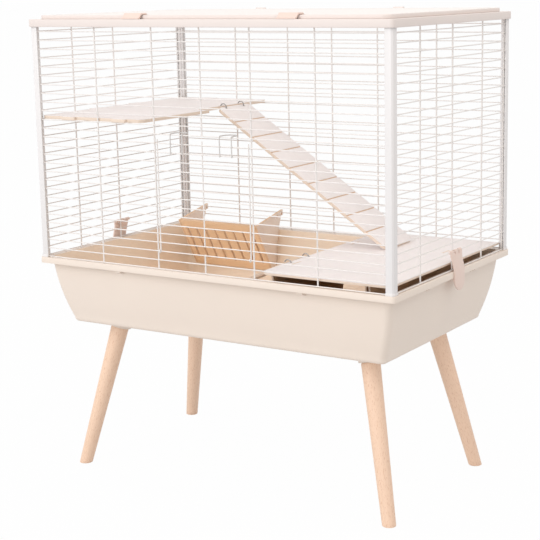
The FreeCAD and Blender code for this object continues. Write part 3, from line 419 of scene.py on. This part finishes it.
def softened(node, body, width, segments=2, one_moulding=False):
    """A copy of a CAD node, its triangles merged, its edges rounded, its curves shaded smooth."""
    piece = bpy.data.objects.new(node + "_piece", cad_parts[node].data.copy())
    bpy.context.scene.collection.objects.link(piece)
    mesh = bmesh.new()
    mesh.from_mesh(piece.data)
    if one_moulding:
        open_seams(mesh)
    bmesh.ops.remove_doubles(mesh, verts=mesh.verts, dist=WELD)
    bmesh.ops.dissolve_limit(mesh, angle_limit=COPLANAR, verts=mesh.verts, edges=mesh.edges)
    if width:
        sharp = [edge for edge in mesh.edges
                 if edge.is_manifold and edge.calc_face_angle() > SHARP]
        bmesh.ops.bevel(mesh, geom=sharp, offset=width, offset_type="OFFSET", affect="EDGES",
                        segments=segments, profile=0.5, material=-1, clamp_overlap=True)
        bmesh.ops.dissolve_degenerate(mesh, dist=TOUCHING, edges=mesh.edges)
    for face in mesh.faces:
        face.smooth = True
    for edge in mesh.edges:
        edge.smooth = edge.is_manifold and edge.calc_face_angle() < SHARP
    mesh.to_mesh(piece.data)
    mesh.free()
    piece.data.materials.clear()
    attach(piece, body)
    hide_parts(node)
    return piece


def dress(piece, *materials):
    for material in materials:
        piece.data.materials.append(material)


def broad_normal(piece):
    """The direction that a board's largest face looks in."""
    return max(piece.data.polygons, key=lambda face: face.area).normal.copy()


def long_way(piece, normal):
    """A board's longest straight edge, as the direction of its grain."""
    points = piece.data.vertices
    runs = [points[edge.vertices[1]].co - points[edge.vertices[0]].co
            for edge in piece.data.edges]
    flat = [run for run in runs if abs(run.normalized().dot(normal)) < IN_PLANE]
    return max(flat, key=lambda run: run.length).normalized()


def show_edges(piece, normal):
    """Give a board's second material to its edges, and its last to what is sunk in its faces."""
    level = {face.index: face.center.dot(normal) for face in piece.data.polygons
             if abs(face.normal.dot(normal)) > BROADSIDE}
    low = min(level.values())
    high = max(level.values())
    margin = 0.1 * (high - low)
    last = len(piece.data.materials) - 1
    for face in piece.data.polygons:
        depth = level.get(face.index)
        if depth is None:
            face.material_index = 1
        elif low + margin < depth < high - margin:
            face.material_index = last


def show_inside(tray):
    """Give the second material, painted bounce light, to faces with the tray's walls all round and
    nothing above.
    """
    tree = BVHTree.FromObject(tray, bpy.context.evaluated_depsgraph_get())
    level = [Vector(way) for way in ((1, 0, 0), (-1, 0, 0), (0, 1, 0), (0, -1, 0))]
    upward = Vector((0, 0, 1))
    for face in tray.data.polygons:
        start = face.center + face.normal * RAY_LIFT
        walled = all(tree.ray_cast(start, way)[0] for way in level)
        if walled and not tree.ray_cast(start, upward)[0]:
            face.material_index = 1


def show_slots(post, low=0.00215, high=0.00785):
    """Give the second material, painted lighter against their shade, to the post's two slots
    between these depths.
    """
    points = [vertex.co for vertex in post.data.vertices]
    outer_x = max(abs(point.x) for point in points)
    outer_y = max(abs(point.y) for point in points)
    for face in post.data.polygons:
        if low < min(outer_x - abs(face.center.x), outer_y - abs(face.center.y)) < high:
            face.material_index = 1


# Operators


class CAGE_OT_tray(bpy.types.Operator):
    """Build the moulded tray"""

    bl_idname = "cage.tray"
    bl_label = "Tray"

    def execute(self, context):
        colours = context.scene.cage_colours
        edges = context.scene.cage_edges
        tray = softened("base_tray", "cage", edges.moulding, segments=3)
        # The inside faces get a warmer, lighter copy of the plastic: painted bounce light.
        dress(tray, moulded("tray_moulding", colours.tray),
              moulded("tray_inside_painted_bounce", colours.tray_inside_painted_bounce))
        show_inside(tray)
        return {"FINISHED"}


class CAGE_OT_legs(bpy.types.Operator):
    """Build the turned legs with their mounts and bolts"""

    bl_idname = "cage.legs"
    bl_label = "Legs"

    def execute(self, context):
        colours = context.scene.cage_colours
        edges = context.scene.cage_edges
        mount_finish = moulded("mount_moulding", colours.tray)
        for corner in CORNERS:
            leg = softened("leg_" + corner, "cage", edges.leg)
            dress(leg, turned_beech("beech_" + corner, colours.beech, colours.fleck,
                                    self.axis(leg)))
            mount = softened("leg_mount_" + corner, "cage", edges.clip)
            dress(mount, mount_finish)
        bolts = softened("leg_bolts", "cage", width=0)
        dress(bolts, zinc("bolt_zinc", colours.zinc))
        return {"FINISHED"}

    def axis(self, leg, foot_band=0.002, head_band=0.010):
        """The way from the middle of the leg's foot to the middle of its head."""
        points = [vertex.co for vertex in leg.data.vertices]
        lowest = min(point.z for point in points)
        highest = max(point.z for point in points)
        foot = [point for point in points if point.z < lowest + foot_band]
        head = [point for point in points if point.z > highest - head_band]
        return sum(head, Vector()) / len(head) - sum(foot, Vector()) / len(foot)


class CAGE_OT_posts(bpy.types.Operator):
    """Build the corner posts and their shoes"""

    bl_idname = "cage.posts"
    bl_label = "Posts"

    def execute(self, context):
        colours = context.scene.cage_colours
        edges = context.scene.cage_edges
        finish = moulded("post_moulding", colours.post, roughness=0.36)
        lit_slot = lightened_slot_plastic("post_slot_lightened", colours.slot)
        for corner in CORNERS:
            post = softened("corner_post_" + corner, "cage", edges.post)
            # The slots get the copy painted lighter against their shade.
            dress(post, finish, lit_slot)
            show_slots(post)
            shoe = softened("post_shoe_" + corner, "cage", edges.post)
            dress(shoe, finish)
        return {"FINISHED"}


class CAGE_OT_wires(bpy.types.Operator):
    """Build the wire panels, the doors and the latch hooks"""

    bl_idname = "cage.wires"
    bl_label = "Wires"

    def execute(self, context):
        colours = context.scene.cage_colours
        finish = coated_wire("wire_coating", colours.wire)
        for node, body in WIRE_NODES.items():
            dress(softened(node, body, width=0), finish)
        hooks = softened("door_latch_hooks", "front_door", width=0)
        dress(hooks, coated_wire("hook_coating", colours.hook))
        return {"FINISHED"}


class CAGE_OT_roof(bpy.types.Operator):
    """Build the roof frame, its curb, the lid rest and the hinges"""

    bl_idname = "cage.roof"
    bl_label = "Roof"

    def execute(self, context):
        edges = context.scene.cage_edges
        finish = moulded("roof_moulding", context.scene.cage_colours.roof)
        for node in ROOF_NODES:
            dress(softened(node, "cage", edges.moulding, segments=3,
                           one_moulding=True), finish)
        for node in HINGE_NODES:
            dress(softened(node, "cage", edges.clip), finish)
        return {"FINISHED"}


class CAGE_OT_clips(bpy.types.Operator):
    """Build the tongue clips"""

    bl_idname = "cage.clips"
    bl_label = "Clips"

    def execute(self, context):
        edges = context.scene.cage_edges
        finish = moulded("clip_moulding", context.scene.cage_colours.clip)
        for node in CLIP_NODES:
            dress(softened(node, node, edges.clip), finish)
        return {"FINISHED"}


class CAGE_OT_shelf(bpy.types.Operator):
    """Build the shelf board"""

    bl_idname = "cage.shelf"
    bl_label = "Shelf"

    def execute(self, context):
        colours = context.scene.cage_colours
        shelf = softened("shelf_board", "cage", context.scene.cage_edges.board)
        normal = broad_normal(shelf)
        dress(shelf, board_face("shelf_face", colours.face, long_way(shelf, normal)),
              board_edge("shelf_edge", colours.edge, normal))
        show_edges(shelf, normal)
        return {"FINISHED"}


class CAGE_OT_climbing_boards(bpy.types.Operator):
    """Build the grooved climbing boards"""

    bl_idname = "cage.climbing_boards"
    bl_label = "Climbing boards"

    def execute(self, context):
        colours = context.scene.cage_colours
        # Groove floors painted darker: painted shade in the grooves.
        groove_shade = shaded_groove_finish("groove_floor_painted_shade", colours.groove_shade)
        for node, body in CLIMBING_NODES.items():
            board = softened(node, body, context.scene.cage_edges.board)
            normal = broad_normal(board)
            dress(board, board_face(node + "_face", colours.face, long_way(board, normal)),
                  board_edge(node + "_edge", colours.edge, normal), groove_shade)
            show_edges(board, normal)
        return {"FINISHED"}


class CAGE_OT_hide(bpy.types.Operator):
    """Build the hide"""

    bl_idname = "cage.hide"
    bl_label = "Hide"

    def execute(self, context):
        colours = context.scene.cage_colours
        self.board(context, "hide_roof", colours.face, colours.edge)
        # The walls take the darker colour, partly painted shade of the hide's inside.
        for node in HIDE_WALLS:
            self.board(context, node, colours.hide, colours.edge)
        return {"FINISHED"}

    def board(self, context, node, face, edge):
        board = softened(node, "cage", context.scene.cage_edges.board)
        normal = broad_normal(board)
        dress(board, board_face(node + "_face", face, long_way(board, normal)),
              board_edge(node + "_edge", edge, normal))
        show_edges(board, normal)


class CAGE_OT_rings(bpy.types.Operator):
    """Build the wire rings that the climbing boards hang on"""

    bl_idname = "cage.rings"
    bl_label = "Rings"

    def execute(self, context):
        finish = zinc("ring_zinc", context.scene.cage_colours.ring)
        for node, body in RING_NODES.items():
            dress(softened(node, body, width=0), finish)
        return {"FINISHED"}


class CAGE_OT_hay_rack(bpy.types.Operator):
    """Build the slatted hay rack"""

    bl_idname = "cage.hay_rack"
    bl_label = "Hay rack"

    def execute(self, context):
        colours = context.scene.cage_colours
        sawn = shade(colours.rack, 0.9)
        faces = {"hay_rack_left": colours.cheek, "hay_rack_right": colours.cheek,
                 "hay_rack_front": colours.rack}
        for node, colour in faces.items():
            rack = softened(node, "cage", context.scene.cage_edges.board)
            normal = broad_normal(rack)
            dress(rack, board_face(node + "_face", colour, long_way(rack, normal), depth=0.07),
                  board_edge(node + "_edge", sawn, normal))
            show_edges(rack, normal)
        return {"FINISHED"}


# Stage: lengths in metres, and the camera's sensor in millimetres

LAMPS = {
    "key": {"place": (-2.4, -6.2, 4.4), "size": 4.6},
    "fill": {"place": (1.8, -0.6, 3.3), "size": 2.4},
    "front": {"place": (-1.0, -3.8, 0.9), "size": 2.2},
}
LAMP_AIM = Vector((0, 0, 0.45))
FLOOR_REACH = 60.0
FLOOR_GLOW = 0.98
SENSOR_WIDTH = 36.0
FARTHEST_SEEN = 200.0
WHITE = (1, 1, 1, 1)


class CAGE_OT_stage(bpy.types.Operator):
    """Set up the floor, the lamps, the sky and the camera"""

    bl_idname = "cage.stage"
    bl_label = "Stage"

    def execute(self, context):
        studio = context.scene.cage_studio
        self.floor(context.scene, studio)
        self.lamp(context.scene, "key", studio.key_power)
        self.lamp(context.scene, "fill", studio.fill_power, studio.warmth)
        self.lamp(context.scene, "front", studio.front_power)
        self.sky(context.scene, studio)
        self.camera(context.scene, studio)
        context.scene.view_settings.view_transform = "Standard"
        return {"FINISHED"}

    def floor(self, scene, studio):
        """A wide floor that is white to the eye and keeps a faint shadow."""
        floor = bpy.data.objects.new("floor", bpy.data.meshes.new("floor"))
        scene.collection.objects.link(floor)
        mesh = bmesh.new()
        bmesh.ops.create_grid(mesh, x_segments=1, y_segments=1, size=FLOOR_REACH)
        mesh.to_mesh(floor.data)
        mesh.free()
        finish = Finish("studio_floor", {"Roughness": 0.9, "Specular IOR Level": 0.0,
                                         "Base Color": (*studio.floor, 1.0)})
        lit = Value(finish, finish.shader.outputs[0])
        glow = finish.node("ShaderNodeEmission", {}, {"Color": WHITE, "Strength": 1.0})
        finish.show(finish.seen() * FLOOR_GLOW, lit, glow)
        dress(floor, finish.material)

    def lamp(self, scene, name, power, colour=WHITE[:3]):
        place = Vector(LAMPS[name]["place"])
        data = bpy.data.lights.new(name, "AREA")
        data.energy = power
        data.size = LAMPS[name]["size"]
        data.color = colour
        lamp = bpy.data.objects.new(name, data)
        lamp.location = place
        lamp.rotation_euler = (LAMP_AIM - place).to_track_quat("-Z", "Y").to_euler()
        scene.collection.objects.link(lamp)

    def sky(self, scene, studio):
        """Even light all round, seen as plain white."""
        world = bpy.data.worlds.new("studio_sky")
        world.use_nodes = True
        scene.world = world
        nodes = Nodes(world.node_tree)
        nodes.tree.nodes.remove(nodes.tree.nodes["Background"])
        light = nodes.node("ShaderNodeBackground", {}, {"Color": WHITE, "Strength": studio.sky})
        white = nodes.node("ShaderNodeBackground", {}, {"Color": WHITE, "Strength": 1.0})
        nodes.show(nodes.seen(), light, white)

    def camera(self, scene, studio):
        """A camera that looks at the target from the set angles and is rolled and shifted."""
        data = bpy.data.cameras.new("photo_camera")
        data.lens = studio.lens
        data.sensor_width = SENSOR_WIDTH
        data.shift_x = studio.shift_across
        data.shift_y = studio.shift_up
        data.clip_end = FARTHEST_SEEN
        flat = math.cos(studio.elevation)
        back = Vector((math.sin(studio.azimuth) * flat, -math.cos(studio.azimuth) * flat,
                       math.sin(studio.elevation)))
        level = Vector((0, 0, 1)).cross(back).normalized()
        upward = back.cross(level)
        right = level * math.cos(studio.roll) - upward * math.sin(studio.roll)
        up = back.cross(right)
        turn = Matrix((right, up, back)).transposed().to_4x4()
        spot = Vector(studio.target) + back * studio.distance
        camera = bpy.data.objects.new("photo_camera", data)
        camera.matrix_world = Matrix.Translation(spot) @ turn
        scene.collection.objects.link(camera)
        scene.camera = camera


class CAGE_PT_panel(bpy.types.Panel):
    """Lists the cage's operators and settings"""

    bl_idname = "CAGE_PT_panel"
    bl_label = "Cage"
    bl_space_type = "VIEW_3D"
    bl_region_type = "UI"
    bl_category = "Cage"

    def draw(self, context):
        for operator in OPERATORS:
            self.layout.operator(operator.bl_idname)
        for name in SETTINGS:
            settings = getattr(context.scene, name)
            box = self.layout.box()
            for setting in settings.__annotations__:
                box.prop(settings, setting)


OPERATORS = (
    CAGE_OT_tray, CAGE_OT_legs, CAGE_OT_posts, CAGE_OT_wires, CAGE_OT_roof, CAGE_OT_clips,
    CAGE_OT_shelf, CAGE_OT_climbing_boards, CAGE_OT_hide, CAGE_OT_rings, CAGE_OT_hay_rack,
    CAGE_OT_stage,
)
SETTINGS = {"cage_colours": CageColours, "cage_edges": CageEdges, "cage_studio": CageStudio}


def register():
    for name, group in SETTINGS.items():
        bpy.utils.register_class(group)
        setattr(bpy.types.Scene, name, PointerProperty(type=group))
    for shown in (*OPERATORS, CAGE_PT_panel):
        bpy.utils.register_class(shown)


def unregister():
    for shown in reversed((*OPERATORS, CAGE_PT_panel)):
        bpy.utils.unregister_class(shown)
    for name, group in reversed(SETTINGS.items()):
        delattr(bpy.types.Scene, name)
        bpy.utils.unregister_class(group)


def main():
    register()
    for operator in OPERATORS:
        getattr(bpy.ops.cage, operator.bl_idname.split(".")[1])()


if __name__ == "__main__":
    main()
